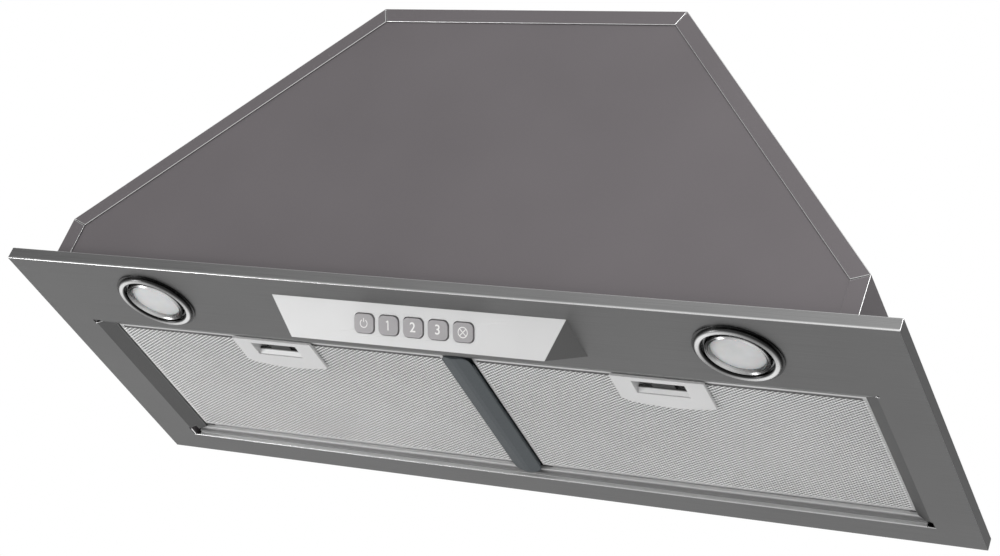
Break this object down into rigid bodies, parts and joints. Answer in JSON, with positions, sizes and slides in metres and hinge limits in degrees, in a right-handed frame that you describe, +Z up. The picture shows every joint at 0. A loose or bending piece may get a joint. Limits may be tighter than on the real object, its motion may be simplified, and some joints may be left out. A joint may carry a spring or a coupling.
{
  "type": "range hood insert",
  "caption": "Built-in range hood insert: flanged panel with filters, lamps and push buttons under a tapered blower housing with a round duct spigot.",
  "frame": {"origin": "centre of the cabinet cut-out in the seat plane, level with the tops of the panel's lips", "axes": "+Z up out of the duct spigot, +X to the right seen from the front, front at -Y"},
  "size_m": [0.72, 0.28, 0.3281],
  "materials": {
    "brushed_steel": "brushed, grain left to right",
    "painted_steel": "warm grey, satin",
    "rail_aluminium": "satin, drawn",
    "divider_plastic": "moulded, dark grey",
    "galvanised_steel": "zinc coated",
    "housing_grey": "satin, as the panel",
    "silver_plastic": "silver lacquer, satin",
    "circuit_board": "solder mask",
    "black_plastic": "moulded, fine texture",
    "zinc": "zinc plated",
    "spring_steel": "bright",
    "blower_plastic": "moulded",
    "motor_steel": "zinc coated",
    "rubber": "matt",
    "white_plastic": "moulded",
    "button_grey": "satin",
    "filter_aluminium": "satin",
    "mesh_aluminium": "bright expanded mesh",
    "chrome": "polished",
    "frosted_lens": "frosted"
  },
  "bodies": {
    "casing": {"back_rail": "rail_aluminium", "body_wrapper": "painted_steel", "bracket_screws": "zinc", "cable_grommet": "rubber", "capacitor": "white_plastic", "capacitor_clip": "galvanised_steel", "collar_screws": "zinc", "compartment_cover": "galvanised_steel", "control_fascia": "silver_plastic", "control_housing": "housing_grey", "control_screws": "zinc", "cover_screws": "zinc", "damper_spindle": "spring_steel", "duct_collar": "black_plastic", "filter_divider": "divider_plastic", "flange_panel": "brushed_steel", "front_cover": "painted_steel", "inlet_ring_left": "black_plastic", "inlet_ring_right": "black_plastic", "junction_box": "white_plastic", "junction_lid": "white_plastic", "lamp_bezel_left": "chrome", "lamp_bezel_right": "chrome", "lamp_can_left": "galvanised_steel", "lamp_can_right": "galvanised_steel", "lamp_clips": "spring_steel", "lamp_lens_left": "frosted_lens", "lamp_lens_right": "frosted_lens", "led_modules": "circuit_board", "lens_ring_left": "chrome", "lens_ring_right": "chrome", "micro_switches": "black_plastic", "motor": "motor_steel", "motor_bracket": "galvanised_steel", "motor_grommets": "rubber", "rear_cover": "painted_steel", "scroll_left": "galvanised_steel", "scroll_right": "galvanised_steel", "switch_board": "circuit_board"},
    "button_off": {"button_off": "button_grey"},
    "button_speed_1": {"button_speed_1": "button_grey"},
    "button_speed_2": {"button_speed_2": "button_grey"},
    "button_speed_3": {"button_speed_3": "button_grey"},
    "button_lamp": {"button_lamp": "button_grey"},
    "filter_left": {"filter_frame_left": "filter_aluminium", "filter_mesh_left": "mesh_aluminium", "filter_core_left": "mesh_aluminium", "filter_handle_left": "silver_plastic", "latch_spring_left": "spring_steel"},
    "latch_left": {"filter_latch_left": "silver_plastic"},
    "flap_left": {"damper_flap_left": "black_plastic"},
    "filter_right": {"filter_frame_right": "filter_aluminium", "filter_mesh_right": "mesh_aluminium", "filter_core_right": "mesh_aluminium", "filter_handle_right": "silver_plastic", "latch_spring_right": "spring_steel"},
    "latch_right": {"filter_latch_right": "silver_plastic"},
    "flap_right": {"damper_flap_right": "black_plastic"},
    "impeller": {"impeller": "blower_plastic", "motor_shaft": "spring_steel"}
  },
  "joints": [
    {"name": "button_off_press", "type": "slide", "parent": "casing", "child": "button_off", "axis": [0, 0.7315, 0.6818], "range_m": [0, 0.002], "stiffness_N_per_m": 300},
    {"name": "button_speed_1_press", "type": "slide", "parent": "casing", "child": "button_speed_1", "axis": [0, 0.7315, 0.6818], "range_m": [0, 0.002], "stiffness_N_per_m": 300},
    {"name": "button_speed_2_press", "type": "slide", "parent": "casing", "child": "button_speed_2", "axis": [0, 0.7315, 0.6818], "range_m": [0, 0.002], "stiffness_N_per_m": 300},
    {"name": "button_speed_3_press", "type": "slide", "parent": "casing", "child": "button_speed_3", "axis": [0, 0.7315, 0.6818], "range_m": [0, 0.002], "stiffness_N_per_m": 300},
    {"name": "button_lamp_press", "type": "slide", "parent": "casing", "child": "button_lamp", "axis": [0, 0.7315, 0.6818], "range_m": [0, 0.002], "stiffness_N_per_m": 300},
    {"name": "filter_left_swing", "type": "hinge", "parent": "casing", "child": "filter_left", "pos_m": [-0.1627, 0.11, -0.0011], "axis": [1, 0, 0], "range_deg": [0, 70]},
    {"name": "latch_left_slide", "type": "slide", "parent": "filter_left", "child": "latch_left", "axis": [0, 1, 0], "range_m": [0, 0.003], "stiffness_N_per_m": 400, "deforming": ["latch_spring_left"]},
    {"name": "flap_left_swing", "type": "hinge", "parent": "casing", "child": "flap_left", "pos_m": [0, 0, 0.268], "axis": [0, 1, 0], "range_deg": [0, 72]},
    {"name": "filter_right_swing", "type": "hinge", "parent": "casing", "child": "filter_right", "pos_m": [0.1627, 0.11, -0.0011], "axis": [1, 0, 0], "range_deg": [0, 70]},
    {"name": "latch_right_slide", "type": "slide", "parent": "filter_right", "child": "latch_right", "axis": [0, 1, 0], "range_m": [0, 0.003], "stiffness_N_per_m": 400, "deforming": ["latch_spring_right"]},
    {"name": "flap_right_swing", "type": "hinge", "parent": "casing", "child": "flap_right", "pos_m": [0, 0, 0.268], "axis": [0, -1, 0], "range_deg": [0, 72]},
    {"name": "impeller_spin", "type": "hinge", "parent": "casing", "child": "impeller", "pos_m": [0, -0.026, 0.138], "axis": [1, 0, 0], "continuous": true}
  ]
}
